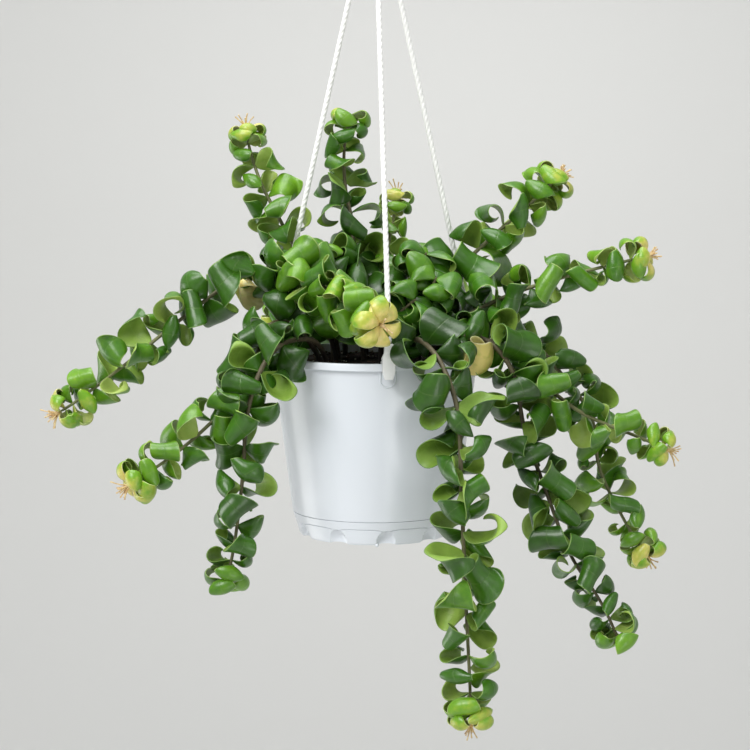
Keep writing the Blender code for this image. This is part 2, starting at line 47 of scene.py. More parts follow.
# The pot's rim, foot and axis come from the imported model, and everything else hangs from them.
potLow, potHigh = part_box("pot")
saucerLow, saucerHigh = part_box("saucer")
mixLow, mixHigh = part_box("potting_mix")
hookLow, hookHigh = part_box("hanger_hook")
rimZ = potHigh.z
rimRadius = (potHigh.x - potLow.x) / 2


def polar(bearing, radius, z):
    # bearing in degrees, counted from +X towards +Y; the front is at -90
    angle = math.radians(bearing)
    return Vector((radius * math.cos(angle), radius * math.sin(angle), z))


def newObject(name, data):
    made = bpy.data.objects.new(name, data)
    bpy.context.scene.collection.objects.link(made)
    return made


# ---- camera

cameraLook = {
    "distance": 1.600,  # from the pot's axis
    "aboveRim": 0.168,
    "downTilt": 6.56,  # degrees
    "lens": 108.5,
    "sensor": 36.0,
}


def makeCamera(look):
    data = bpy.data.cameras.new("camera")
    data.lens = look["lens"]
    data.sensor_width = look["sensor"]
    camera = newObject("camera", data)
    camera.location = (0, -look["distance"], rimZ + look["aboveRim"])
    camera.rotation_euler = (math.radians(90 - look["downTilt"]), 0, 0)
    bpy.context.scene.camera = camera
    bpy.context.view_layer.update()


makeCamera(cameraLook)
print("camera made")


# ---- small helpers for materials

def colour(hexValue):
    # sRGB hex to the linear values that sockets take
    parts = [int(hexValue[i:i + 2], 16) / 255 for i in (1, 3, 5)]
    linear = [c / 12.92 if c <= 0.04045 else ((c + 0.055) / 1.055) ** 2.4 for c in parts]
    return (*linear, 1.0)


def setInputs(node, values):
    for key, value in values.items():
        node.inputs[key].default_value = value


def addNode(tree, kind, settings=None, inputs=None, links=None):
    # settings go on the node, inputs on its sockets, links join sockets to other nodes' outputs
    node = tree.nodes.new(kind)
    for key, value in (settings or {}).items():
        setattr(node, key, value)
    setInputs(node, inputs or {})
    for key, (source, output) in (links or {}).items():
        tree.links.new(source.outputs[output], node.inputs[key])
    return node


def newMaterial(name):
    material = bpy.data.materials.new(name)
    material.use_nodes = True
    tree = material.node_tree
    shader = tree.nodes["Principled BSDF"]
    return material, tree, shader


def setRamp(node, stops):
    elements = node.color_ramp.elements
    while len(elements) < len(stops):
        elements.new(0.5)
    for element, (place, hexValue) in zip(elements, stops):
        element.position = place
        element.color = colour(hexValue)


def addBump(tree, shader, source, output, distance, strength):
    bump = addNode(tree, "ShaderNodeBump", inputs={"Distance": distance, "Strength": strength},
                   links={"Height": (source, output)})
    tree.links.new(bump.outputs["Normal"], shader.inputs["Normal"])


# ---- materials

def mouldedPolypropylene(name, darkHex, paleHex):
    # white polypropylene, injection moulded: soft satin gloss, and a tint that drifts slowly
    # round the wall
    material, tree, shader = newMaterial(name)
    place = addNode(tree, "ShaderNodeTexCoord")
    flow = addNode(tree, "ShaderNodeTexNoise", inputs={"Scale": 9.0, "Detail": 0.0},
                   links={"Vector": (place, "Object")})
    tint = addNode(tree, "ShaderNodeValToRGB", links={"Fac": (flow, "Fac")})
    setRamp(tint, ((0.3, darkHex), (0.7, paleHex)))
    tree.links.new(tint.outputs["Color"], shader.inputs["Base Color"])
    gloss = addNode(tree, "ShaderNodeMapRange", inputs={"To Min": 0.22, "To Max": 0.25},
                    links={"Value": (flow, "Fac")})
    tree.links.new(gloss.outputs["Result"], shader.inputs["Roughness"])
    # spark-eroded mould skin, about 0.5 mm, drawn at 0.8 mm so that it shows
    skin = addNode(tree, "ShaderNodeTexNoise", inputs={"Scale": 1250.0, "Detail": 1.0},
                   links={"Vector": (place, "Object")})
    addBump(tree, shader, skin, "Fac", 0.00004, 0.25)
    setInputs(shader, {"IOR": 1.49, "Subsurface Weight": 0.08,
                       "Subsurface Radius": (0.004, 0.004, 0.004)})
    return material


def twistedCord():
    # white polypropylene yarn laid up into cord: fine fibres run along each ply
    material, tree, shader = newMaterial("polypropylene yarn, laid cord")
    fibres = addNode(tree, "ShaderNodeUVMap", {"uv_map": "layMap"})
    stretch = addNode(tree, "ShaderNodeMapping", inputs={"Scale": (90.0, 6.0, 1.0)},
                      links={"Vector": (fibres, "UV")})
    strands = addNode(tree, "ShaderNodeTexNoise", inputs={"Scale": 1.0, "Detail": 3.0},
                      links={"Vector": (stretch, "Vector")})
    tint = addNode(tree, "ShaderNodeValToRGB", links={"Fac": (strands, "Fac")})
    setRamp(tint, ((0.25, "#e9e9e5"), (0.65, "#fbfbf9")))
    tree.links.new(tint.outputs["Color"], shader.inputs["Base Color"])
    addBump(tree, shader, strands, "Fac", 0.0002, 0.4)
    setInputs(shader, {"Roughness": 0.5, "IOR": 1.49, "Sheen Weight": 0.15})
    return material


leafTones = {
    "upper": ((0.0, "#204108"), (0.4, "#396a10"), (0.72, "#6c9c1e"), (0.87, "#b3b84a"),
              (1.0, "#e8d683")),
    "under": ((0.0, "#6b8c33"), (0.4, "#8aa947"), (0.75, "#adc066"), (1.0, "#d2ca92")),
    "margin": ((0.0, "#5f8444"), (0.4, "#829f52"), (0.75, "#abc070"), (1.0, "#dcd6a4")),
}


def leafMaterial(name, side, gloss, ribShows):
    # thick living leaf: the colour follows the leaf's age, with a faint, paler midrib
    material, tree, shader = newMaterial(name)
    place = addNode(tree, "ShaderNodeTexCoord")
    age = addNode(tree, "ShaderNodeAttribute", {"attribute_name": "age"})
    cloud = addNode(tree, "ShaderNodeTexNoise", inputs={"Scale": 130.0, "Detail": 3.0},
                    links={"Vector": (place, "Object")})
    drift = addNode(tree, "ShaderNodeMapRange", inputs={"To Min": -0.2, "To Max": 0.2},
                    links={"Value": (cloud, "Fac")})
    mixed = addNode(tree, "ShaderNodeMath", {"operation": "ADD", "use_clamp": True},
                    links={0: (age, "Fac"), 1: (drift, "Result")})
    tone = addNode(tree, "ShaderNodeValToRGB", links={"Fac": (mixed, "Value")})
    setRamp(tone, leafTones[side])
    leafMap = addNode(tree, "ShaderNodeUVMap", {"uv_map": "leafMap"})
    split = addNode(tree, "ShaderNodeSeparateXYZ", links={"Vector": (leafMap, "UV")})
    centred = addNode(tree, "ShaderNodeMath", {"operation": "SUBTRACT"}, {1: 0.5},
                      {0: (split, "X")})
    across = addNode(tree, "ShaderNodeMath", {"operation": "ABSOLUTE"}, None,
                     {0: (centred, "Value")})
    rib = addNode(tree, "ShaderNodeMapRange",
                  inputs={"From Min": 0.0, "From Max": 0.022, "To Min": 1.0, "To Max": 0.0},
                  links={"Value": (across, "Value")})
    faint = addNode(tree, "ShaderNodeMath", {"operation": "MULTIPLY"}, {1: ribShows},
                    {0: (rib, "Result")})
    pale = addNode(tree, "ShaderNodeMix", {"data_type": "RGBA"})
    tree.links.new(faint.outputs["Value"], pale.inputs[0])
    tree.links.new(tone.outputs["Color"], pale.inputs[6])
    pale.inputs[7].default_value = colour("#a3bd6a")
    tree.links.new(pale.outputs[2], shader.inputs["Base Color"])
    # slow swellings of the fleshy blade, 4 mm or so, with the sunken midrib
    swell = addNode(tree, "ShaderNodeTexNoise", inputs={"Scale": 260.0, "Detail": 2.0},
                    links={"Vector": (place, "Object")})
    sunk = addNode(tree, "ShaderNodeMath", {"operation": "MULTIPLY_ADD"}, {1: -0.5},
                   {0: (rib, "Result"), 2: (swell, "Fac")})
    addBump(tree, shader, sunk, "Value", 0.0007, 0.35)
    wax = 0.25 if side == "upper" else 0.0
    setInputs(shader, {"Roughness": gloss, "IOR": 1.45, "Coat Weight": wax, "Coat Roughness": 0.26,
                       "Subsurface Weight": 0.12, "Subsurface Radius": (0.0012, 0.0022, 0.0006)})
    return material


def greenBark():
    # young woody stem: grey-brown bark over green, and darker where it leaves the mix, which is
    # painted shade
    material, tree, shader = newMaterial("stem bark, young")
    place = addNode(tree, "ShaderNodeTexCoord")
    age = addNode(tree, "ShaderNodeAttribute", {"attribute_name": "age"})
    patches = addNode(tree, "ShaderNodeTexNoise", inputs={"Scale": 260.0, "Detail": 4.0},
                      links={"Vector": (place, "Object")})
    aged = addNode(tree, "ShaderNodeMath", {"operation": "MULTIPLY_ADD"}, {1: 0.5},
                   {0: (patches, "Fac"), 2: (age, "Fac")})
    tone = addNode(tree, "ShaderNodeValToRGB", links={"Fac": (aged, "Value")})
    setRamp(tone, ((0.0, "#1c1510"), (0.2, "#43382a"), (0.5, "#615b43"), (0.9, "#727a4a")))
    tree.links.new(tone.outputs["Color"], shader.inputs["Base Color"])
    addBump(tree, shader, patches, "Fac", 0.0004, 0.5)
    setInputs(shader, {"Roughness": 0.6, "IOR": 1.45})
    return material


def plainGrown(name, darkHex, paleHex, scale, roughness):
    # a small grown or dug thing: two tones in a noise as large as its own grains
    material, tree, shader = newMaterial(name)
    place = addNode(tree, "ShaderNodeTexCoord")
    grain = addNode(tree, "ShaderNodeTexNoise", inputs={"Scale": scale, "Detail": 5.0},
                    links={"Vector": (place, "Object")})
    tone = addNode(tree, "ShaderNodeValToRGB", links={"Fac": (grain, "Fac")})
    setRamp(tone, ((0.3, darkHex), (0.7, paleHex)))
    tree.links.new(tone.outputs["Color"], shader.inputs["Base Color"])
    addBump(tree, shader, grain, "Fac", 0.001, 0.6)
    shader.inputs["Roughness"].default_value = roughness
    return material


def paperBackdrop():
    material, tree, shader = newMaterial("paper backdrop, matt")
    setInputs(shader, {"Base Color": colour("#dddddb"), "Roughness": 0.9})
    return material


polypropylene = mouldedPolypropylene("polypropylene, injection moulded", "#dfe4eb", "#e4e8ee")
clipPlastic = mouldedPolypropylene("polypropylene, clips and hook", "#f8f9f9", "#fcfdfd")
cordYarn = twistedCord()
leafUpper = leafMaterial("leaf, upper side, waxed", "upper", 0.33, 0.07)
leafUnder = leafMaterial("leaf, underside, matt", "under", 0.45, 0.16)
leafMargin = leafMaterial("leaf, rolled margin", "margin", 0.4, 0.0)
bark = greenBark()
stalkMaterial = plainGrown("flower stalk, dried", "#b58e60", "#e6d4a4", 400.0, 0.6)
pottingPeat = plainGrown("peat potting mix, damp", "#0d0906", "#2b1f16", 420.0, 0.95)
chipBark = plainGrown("composted bark, chipped", "#26180f", "#4a3322", 300.0, 0.85)
perlite = plainGrown("perlite, expanded", "#bdb8ac", "#e6e2d8", 500.0, 0.8)
print("materials made")


# ---- small helpers for meshes

def meshFrom(name, bm, materials=()):
    mesh = bpy.data.meshes.new(name)
    bm.to_mesh(mesh)
    bm.free()
    for material in materials:
        mesh.materials.append(material)
    return mesh


def newPiece(name, bm, materials, smoothAngle=40):
    mesh = meshFrom(name, bm, materials)
    mesh.shade_smooth()
    mesh.set_sharp_from_angle(angle=math.radians(smoothAngle))
    piece = newObject(name, mesh)
    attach(piece, "root")
    return piece


def tidyMesh(bm, merge=0.00001):
    bmesh.ops.remove_doubles(bm, verts=bm.verts, dist=merge)
    bmesh.ops.recalc_face_normals(bm, faces=bm.faces)


def roundedCorners(points, steps=4):
    # points are (radius, z, corner radius); each corner becomes an arc
    outline = []
    for i, (x, z, bend) in enumerate(points):
        corner = Vector((x, z))
        if bend == 0 or i in (0, len(points) - 1):
            outline.append(corner)
            continue
        back = (Vector(points[i - 1][:2]) - corner).normalized()
        ahead = (Vector(points[i + 1][:2]) - corner).normalized()
        half = back.angle(ahead) / 2
        reach = bend / math.tan(half)
        start, end = corner + back * reach, corner + ahead * reach
        for step in range(steps + 1):
            t = step / steps
            outline.append(start * (1 - t) ** 2 + corner * 2 * t * (1 - t) + end * t ** 2)
    return outline


def spunProfile(points, steps):
    bm = bmesh.new()
    verts = [bm.verts.new((point.x, 0, point.y)) for point in points]
    edges = [bm.edges.new(pair) for pair in zip(verts, verts[1:])]
    bmesh.ops.spin(bm, geom=verts + edges, cent=(0, 0, 0), axis=(0, 0, 1),
                   angle=math.radians(360), steps=steps, use_merge=True)
    return bm


def sweepAlong(bm, frames, radii, sides):
    # a closed round bar through a list of frames, each one's Z along the bar
    start = frames[0] @ Matrix.Scale(radii[0], 4)
    bmesh.ops.create_circle(bm, cap_ends=True, segments=sides, radius=1, matrix=start)
    bm.faces.ensure_lookup_table()
    face = bm.faces[-1]
    last = start
    made = set(face.verts)
    for place, radius in zip(frames[1:], radii[1:]):
        matrix = place @ Matrix.Scale(radius, 4)
        face = bmesh.ops.extrude_discrete_faces(bm, faces=[face])["faces"][0]
        bmesh.ops.transform(bm, matrix=matrix @ last.inverted(), verts=face.verts)
        made.update(face.verts)
        last = matrix
    openEdges = [edge for edge in bm.edges if edge.is_boundary]
    bmesh.ops.holes_fill(bm, edges=openEdges, sides=sides)
    return made


def framesAlong(points, side=Vector((1, 0, 0))):
    frames = []
    for i, point in enumerate(points):
        ahead = points[min(i + 1, len(points) - 1)] - points[max(i - 1, 0)]
        ahead.normalize()
        side = (side - ahead * side.dot(ahead)).normalized()
        basis = Matrix((side, ahead.cross(side), ahead)).transposed().to_4x4()
        frames.append(Matrix.Translation(point) @ basis)
    return frames


# ---- hanger: strands, hook and clips

hanger = {
    "clipBearings": (-83, 26, 157),
    "strandDiameter": 3.9 * mm,
    "strandSpread": 3.4 * mm,  # from the axis to a strand, at the collar
    "collarHeight": 8 * mm,
    "collarRadius": 6.6 * mm,
    "hookThickness": 4.4 * mm,
    "hookBore": 12 * mm,
    "plies": 3,
    "around": 24,  # points round a strand
    "strandStep": 0.9 * mm,
    "lay": 14 * mm,  # length of one full turn of the plies
    "clipPlate": 1.8 * mm,
    "clipHead": 14 * mm,  # from the rim up to the clip's top
    "clipJaw": 1.2 * mm,
    "gap": 0.3 * mm,
    # millimetres above the rim, and half the clip's width there
    "clipWidths": ((14, 2.9), (9.5, 3.1), (7.5, 3.6), (4.0, 4.7), (-4.5, 4.7), (-7.8, 4.0),
                   (-10.5, 2.9)),
}
collarLowZ = hookLow.z


def strandEnds(look, bearing):
    slack = look["gap"] + 0.2 * look["strandDiameter"]
    middle = rimRadius + look["gap"] + look["clipPlate"] / 2
    bottom = polar(bearing, middle, rimZ + look["clipHead"] + slack)
    top = polar(bearing, look["strandSpread"], collarLowZ - slack)
    return bottom, top


def makeStrand(look, number, bearing):
    # a bar of three plies, drawn out and turned about its own line in one spin
    bottom, top = strandEnds(look, bearing)
    line = top - bottom
    ahead = line.normalized()
    bm = bmesh.new()
    layMap = bm.loops.layers.uv.new("layMap")
    radius = look["strandDiameter"] / 2
    turn = ahead.to_track_quat("Z", "Y").to_matrix().to_4x4()
    bmesh.ops.create_circle(bm, cap_ends=True, segments=look["around"], radius=radius,
                            matrix=Matrix.Translation(bottom) @ turn)
    for i, vert in enumerate(bm.verts):
        ply = abs(math.cos(look["plies"] * math.pi * i / look["around"]))
        vert.co = bottom + (vert.co - bottom) * (0.84 + 0.16 * ply)
    steps = round(line.length / look["strandStep"])
    turns = line.length / look["lay"]
    bmesh.ops.spin(bm, geom=bm.faces[:], cent=bottom, axis=ahead, dvec=line / steps,
                   angle=math.radians(360) * turns, steps=steps, use_merge=False)
    tidyMesh(bm, 0.000001)
    for face in bm.faces:
        for loop in face.loops:
            offset = loop.vert.co - bottom
            along = offset.dot(ahead)
            outward = turn.to_3x3().inverted() @ offset
            angle = math.atan2(outward.y, outward.x) / math.tau
            loop[layMap].uv = (angle, along / look["lay"])
    strand = newPiece("strand_%d" % number, bm, [cordYarn], 80)
    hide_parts("hanger_strand_%d" % number)
    pathSteps = 24
    path = [tuple(bottom.lerp(top, i / pathSteps)) for i in range(pathSteps + 1)]
    return strand, bottom, line.length, path


def makeHook(look):
    line = look["hookBore"] + look["hookThickness"] / 2
    centreZ = -look["hookBore"]
    route = []
    for step in range(29):  # from the point, over the top, to the shank
        angle = math.radians(205 - step * 7.5)
        route.append(Vector((line * math.cos(angle), 0, centreZ + line * math.sin(angle))))
    # the shank swings back to the axis, in shares of the bend's radius
    shank = ((0.80, 0.92), (0.46, 1.24), (0.20, 1.50), (0.06, 1.76), (0, 2.05), (0, 2.4))
    for share, drop in shank:
        route.append(Vector((share * line, 0, centreZ - drop * line)))
    radius = look["hookThickness"] / 2
    radii = [0.45 * radius, 0.85 * radius] + [radius] * (len(route) - 2)  # a rounded tip
    bm = bmesh.new()
    sweepAlong(bm, framesAlong(route, Vector((0, 1, 0))), radii, 16)
    middle = collarLowZ + look["collarHeight"] / 2
    collar = bmesh.ops.create_cone(bm, cap_ends=True, segments=32, radius1=look["collarRadius"],
                                   radius2=0.8 * look["collarRadius"], depth=look["collarHeight"],
                                   matrix=Matrix.Translation((0, 0, middle)))
    rims = {edge for vert in collar["verts"] for edge in vert.link_edges
            if edge.calc_face_angle(0) > math.radians(60)}
    bmesh.ops.bevel(bm, geom=list(rims), offset=1 * mm, segments=3, profile=0.5,
                    affect="EDGES", material=-1)
    bmesh.ops.recalc_face_normals(bm, faces=bm.faces)
    hook = newPiece("hook_and_collar", bm, [clipPlastic])
    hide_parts("hanger_hook")
    return hook


def clipHalfWidth(above):
    stops = hanger["clipWidths"]
    for (high, wide), (low, narrow) in zip(stops, stops[1:]):
        if above >= low * mm:
            share = (above - low * mm) / ((high - low) * mm)
            return (narrow + min(share, 1) * (wide - narrow)) * mm
    return stops[-1][1] * mm


def makeClip(look, number, bearing):
    inner = rimRadius + look["gap"]
    outer = inner + look["clipPlate"]
    middle = (inner + outer) / 2
    head = 2.5 * mm
    jaw = look["clipJaw"]
    lip = potShape["lipHeight"]
    wallInside = potShape["lipInside"] - 2 * look["gap"]
    wallOutside = potShape["wallTop"] + look["gap"]
    outline = (
        (outer, -10.5 * mm), (outer, -7.8 * mm), (outer, -4.5 * mm), (outer, 4 * mm),
        (outer, 7.5 * mm), (middle + head, 9.5 * mm), (middle + head, look["clipHead"]),
        (middle - head, look["clipHead"]), (middle - head, 9.5 * mm), (inner, 7.5 * mm),
        (inner, 4 * mm), (inner, look["gap"] + jaw), (wallInside - jaw, look["gap"] + jaw),
        (wallInside - jaw, -0.5 * lip), (wallInside, -0.5 * lip), (wallInside, look["gap"]),
        (inner, look["gap"]), (inner, -lip - look["gap"]), (wallOutside, -lip - look["gap"]),
        (wallOutside, -lip - look["gap"] - jaw), (inner, -lip - look["gap"] - jaw),
        (inner, -10.5 * mm),
    )
    bm = bmesh.new()
    face = bm.faces.new([bm.verts.new((radius, -1, above)) for radius, above in outline])
    made = bmesh.ops.extrude_face_region(bm, geom=[face])["geom"]
    moved = [item for item in made if isinstance(item, bmesh.types.BMVert)]
    bmesh.ops.translate(bm, vec=(0, 2, 0), verts=moved)
    for vert in bm.verts:
        vert.co.y *= clipHalfWidth(vert.co.z)
    bmesh.ops.recalc_face_normals(bm, faces=bm.faces)
    sharp = [edge for edge in bm.edges if edge.calc_face_angle(0) > math.radians(50)]
    bmesh.ops.bevel(bm, geom=sharp, offset=0.35 * mm, segments=2, profile=0.5,
                    affect="EDGES", material=-1, clamp_overlap=True)
    place = Matrix.Translation((0, 0, rimZ)) @ Matrix.Rotation(math.radians(bearing), 4, "Z")
    bmesh.ops.transform(bm, matrix=place, verts=bm.verts)
    clip = newPiece("clip_%d" % number, bm, [clipPlastic], 35)
    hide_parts("hanger_clip_%d" % number)


# ---- pot and saucer

potShape = {
    "steps": 192,
    "lipHeight": 5 * mm,
    "lipInside": 71.6 * mm,
    "wallTop": rimRadius - 3.2 * mm,
    "seamRadius": (saucerHigh.x - saucerLow.x) / 2,
    "wall": 1.8 * mm,
    "spigot": 56.9 * mm,  # the foot that the saucer clips onto, at the seam
    "spigotTaper": 1.7 * mm,  # how much narrower that is at the floor
    "drains": 6,
    "drainRadius": 4 * mm,
    "drainCircle": 34 * mm,
    "ridge": 0.75 * mm,  # half the thickness of the U under each clip
    "ridgeArm": 5.2 * mm,  # half the U's width
    "ridgeBend": -12 * mm,  # where its arms turn, above the rim
    "wallLean": 7.8,  # degrees
}
saucerShape = {
    "steps": 360,
    "footRadius": 54.5 * mm,
    "wall": 1.8 * mm,
    "scoops": 10,
    "scoopTurn": -82,
    "scoopWidth": 13.5 * mm,
    "scoopHeight": 10.5 * mm,
    "scoopDepth": 4.8 * mm,
    "scoopLift": 1.2 * mm,  # each scoop is cut up into the foot by this much
    "bandFoot": 11.4 * mm,  # the band above the scoops stands out down to this height
    "bandStep": 0.45 * mm,
    "bandSag": 1.7 * mm,  # and comes this much lower over each scoop
    "sagReach": 4.5 * mm,
    "wellFloor": 4.3 * mm,  # above the foot
    "underside": 2 * mm,
    "gateBearing": -88.5,
    "gateRadius": 1.4 * mm,
}


def makePot(look):
    seamZ = saucerHigh.z
    top = rimZ
    lipZ = rimZ - look["lipHeight"]
    floorZ = potLow.z
    wall = look["wall"]
    profile = roundedCorners((
        (0, floorZ + wall, 0),
        (look["spigot"] - wall - look["spigotTaper"], floorZ + wall, 1.5 * mm),
        (look["spigot"] - wall, seamZ, 0.5 * mm),
        (look["lipInside"], lipZ, 0.5 * mm),
        (look["lipInside"] + 0.8 * mm, top, 0.5 * mm),
        (rimRadius - 0.4 * mm, top, 0.8 * mm),
        (rimRadius, lipZ, 0.3 * mm),
        (rimRadius - 1.2 * mm, lipZ, 0.3 * mm),
        (look["wallTop"], lipZ + 1.4 * mm, 0.3 * mm),
        (look["wallTop"], lipZ - 0.5 * mm, 0.5 * mm),
        (look["seamRadius"], seamZ + 0.3 * mm, 0.25 * mm),
        (look["spigot"], seamZ + 0.15 * mm, 0.1 * mm),
        (look["spigot"] - look["spigotTaper"], floorZ, 0.8 * mm),
        (0, floorZ, 0),
    ))
    bm = spunProfile(profile, look["steps"])
    tidyMesh(bm)
    pot = newPiece("pot_moulding", bm, [polypropylene], 30)
    drains = bmesh.new()
    drain = look["drainRadius"]
    for i in range(look["drains"]):
        centre = polar(i * 360 / look["drains"], look["drainCircle"], floorZ + wall / 2)
        bmesh.ops.create_cone(drains, cap_ends=True, segments=24, radius1=drain, radius2=drain,
                              depth=3 * wall, matrix=Matrix.Translation(centre))
    cutter = newObject("drain_cutter", meshFrom("drain_cutter", drains))
    cut = pot.modifiers.new("drains", "BOOLEAN")
    cut.operation = "DIFFERENCE"
    cut.object = cutter
    applyModifiers(pot)
    bpy.data.objects.remove(cutter, do_unlink=True)
    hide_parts("pot")


def applyModifiers(piece):
    shape = bpy.context.evaluated_depsgraph_get()
    mesh = bpy.data.meshes.new_from_object(piece.evaluated_get(shape))
    piece.modifiers.clear()
    old = piece.data
    piece.data = mesh
    bpy.data.meshes.remove(old)


def makeEars(look):
    # the U moulded on the wall under each clip, which takes the clip's end
    bm = bmesh.new()
    lean = math.radians(look["wallLean"])
    arm = look["ridgeArm"]
    armHeights = (-4.8, -6.5, -8.5, -10.5)  # millimetres above the rim
    for bearing in hanger["clipBearings"]:
        route = [(-arm, above * mm) for above in armHeights]
        for step in range(13):
            angle = math.radians(180 + step * 15)
            low = look["ridgeBend"] + 0.86 * arm * math.sin(angle)
            route.append((arm * math.cos(angle), low))
        route += [(arm, above * mm) for above in reversed(armHeights)]
        turn = Matrix.Rotation(math.radians(bearing), 4, "Z")
        points = []
        for across, above in route:
            radius = look["wallTop"] + (above + look["lipHeight"]) * math.tan(lean)
            bow = math.sqrt(radius ** 2 - across ** 2)
            points.append(turn @ Vector((bow, across, rimZ + above)))
        side = turn @ Vector((1, 0, 0))
        sweepAlong(bm, framesAlong(points, side), [look["ridge"]] * len(points), 10)
    bmesh.ops.recalc_face_normals(bm, faces=bm.faces)
    newPiece("pot_clip_loops", bm, [polypropylene])


def makeSaucer(look):
    topZ = saucerHigh.z
    footZ = saucerLow.z
    seam = potShape["seamRadius"]
    foot = look["footRadius"]
    wall = look["wall"]
    well = foot - look["scoopDepth"] - wall
    outside = roundedCorners((
        (seam - 0.6 * mm, topZ, 0),
        (seam, topZ - 0.1 * mm, 0.3 * mm),
        (foot, footZ + 1.4 * mm, 1.2 * mm),
        (foot - 1.2 * mm, footZ, 0.5 * mm),
        (well, footZ, 0),
    ))
    fine = []
    for start, end in zip(outside, outside[1:]):
        count = max(1, round((end - start).length / (0.4 * mm)))
        fine += [start.lerp(end, i / count) for i in range(count)]
    inside = [
        Vector((0, footZ + look["wellFloor"])),
        Vector((well - 1 * mm, footZ + look["wellFloor"])),
        Vector((well, footZ + look["wellFloor"] + 1 * mm)),
        Vector((well, potLow.z - 0.3 * mm)),
        Vector((seam - wall - potShape["spigotTaper"], potLow.z - 0.3 * mm)),
        Vector((seam - wall, topZ)),
    ]
    under = [Vector((well, footZ)), Vector((well - 2 * mm, footZ + look["underside"])),
             Vector((0, footZ + look["underside"]))]
    bm = spunProfile(inside + fine + under, look["steps"])
    tidyMesh(bm)
    pitch = 360 / look["scoops"]
    for vert in bm.verts:
        flat = Vector((vert.co.x, vert.co.y))
        up = vert.co.z - footZ
        outer = foot + up / (topZ - footZ) * (seam - foot)
        onWall = flat.length > outer - 2.6 * mm and vert.co.z < topZ - 0.4 * mm
        onFoot = up < 1.5 * mm and flat.length > well - 1 * mm
        if not onWall and not onFoot:
            continue
        bearing = math.degrees(math.atan2(flat.y, flat.x)) - look["scoopTurn"]
        off = (bearing + pitch / 2) % pitch - pitch / 2
        across = math.radians(off) * flat.length
        opening = 1 - (2 * across / look["scoopWidth"]) ** 2
        arch = max(0, opening - (up / look["scoopHeight"]) ** 2) ** 0.55
        # shallower at the foot, so that the scoop's roof shades it
        steep = min(1, up / (0.55 * look["scoopHeight"]))
        depth = look["scoopDepth"] * arch * (0.4 + 0.6 * steep)
        border = look["bandFoot"] - look["bandSag"] * math.exp(-(across / look["sagReach"]) ** 2)
        if up < border:
            depth += look["bandStep"]
        if border - 0.5 * mm < up < border:
            depth += look["bandStep"]  # shadow line under the band
        radius = min(flat.length, outer - depth)
        flat *= radius / flat.length
        lift = look["scoopLift"] * max(0, opening) ** 0.5 * max(0, 1 - up / (4 * mm))
        vert.co = (flat.x, flat.y, vert.co.z + lift)
    # stub of the moulding's gate, left on the foot
    gate = look["gateRadius"]
    stub = Matrix.Translation(polar(look["gateBearing"], foot - gate, footZ + 0.2 * mm))
    bmesh.ops.create_uvsphere(bm, u_segments=16, v_segments=10, radius=gate, matrix=stub)
    saucer = newPiece("saucer_moulding", bm, [polypropylene], 28)
    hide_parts("saucer")


strands = []
for number, bearing in enumerate(hanger["clipBearings"], 1):
    strands.append(makeStrand(hanger, number, bearing))
hookPiece = makeHook(hanger)
for number, bearing in enumerate(hanger["clipBearings"], 1):
    makeClip(hanger, number, bearing)
print("hanger made")

makePot(potShape)
makeEars(potShape)
makeSaucer(saucerShape)
print("pot and saucer made")


# ---- potting mix

mixLook = {
    "dome": 3 * mm,  # higher in the middle by this much
    "waist": 54.6 * mm,  # its radius at the seam of pot and saucer
    "rings": 46,
    "chips": 260,
    "perlite": 70,
    "seed": 5,
}


def makeMix(look):
    radius = (mixHigh.x - mixLow.x) / 2 - 0.2 * mm
    top = mixHigh.z
    waist = look["waist"]
    profile = [Vector((0.0, top))]
    for i in range(1, look["rings"] + 1):
        share = i / look["rings"]
        profile.append(Vector((radius * share, top - look["dome"] * share)))
    profile += [Vector((waist, saucerHigh.z)), Vector((waist - potShape["spigotTaper"], mixLow.z)),
                Vector((0, mixLow.z))]
    bm = spunProfile(profile, 150)
    tidyMesh(bm)
    for vert in bm.verts:
        flat = math.hypot(vert.co.x, vert.co.y)
        if vert.co.z > top - look["dome"] - 0.1 * mm and flat < radius - 1 * mm:
            coarse = noise.noise(vert.co * 90)
            fine = noise.noise(vert.co * 320)
            vert.co.z += (-1.0 + 1.6 * coarse + 1.0 * fine) * mm
    mix = newPiece("potting_mix_body", bm, [pottingPeat], 180)
    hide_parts("potting_mix")
    chance = random.Random(look["seed"])
    scatter("mix_bark_chips", look["chips"], (1.6, 4.2), (1.0, 0.55, 0.35), chipBark, chance,
            radius)
    scatter("mix_perlite", look["perlite"], (1.0, 2.2), (1.0, 0.9, 0.8), perlite, chance, radius)


def scatter(name, count, sizes, shape, material, chance, radius):
    # grains on the mix, with sizes in millimetres
    bm = bmesh.new()
    for i in range(count):
        size = chance.uniform(*sizes) * mm
        away = (radius - 3 * mm) * math.sqrt(chance.random())
        place = polar(chance.uniform(0, 360), away, mixHigh.z - 0.9 * mm - chance.random() * mm)
        turn = Matrix.Rotation(chance.uniform(0, math.tau), 4, "Z")
        turn = turn @ Matrix.Rotation(chance.uniform(-0.6, 0.6), 4, "X")
        grow = Matrix.Diagonal((*[size * part / 2 for part in shape], 1))
        made = bmesh.ops.create_icosphere(bm, subdivisions=1, radius=1,
                                          matrix=Matrix.Translation(place) @ turn @ grow)
        for vert in made["verts"]:
            vert.co += (vert.co - place) * chance.uniform(-0.25, 0.25)
    newPiece(name, bm, [material], 30)


makeMix(mixLook)
print("potting mix made")


# ---- plant

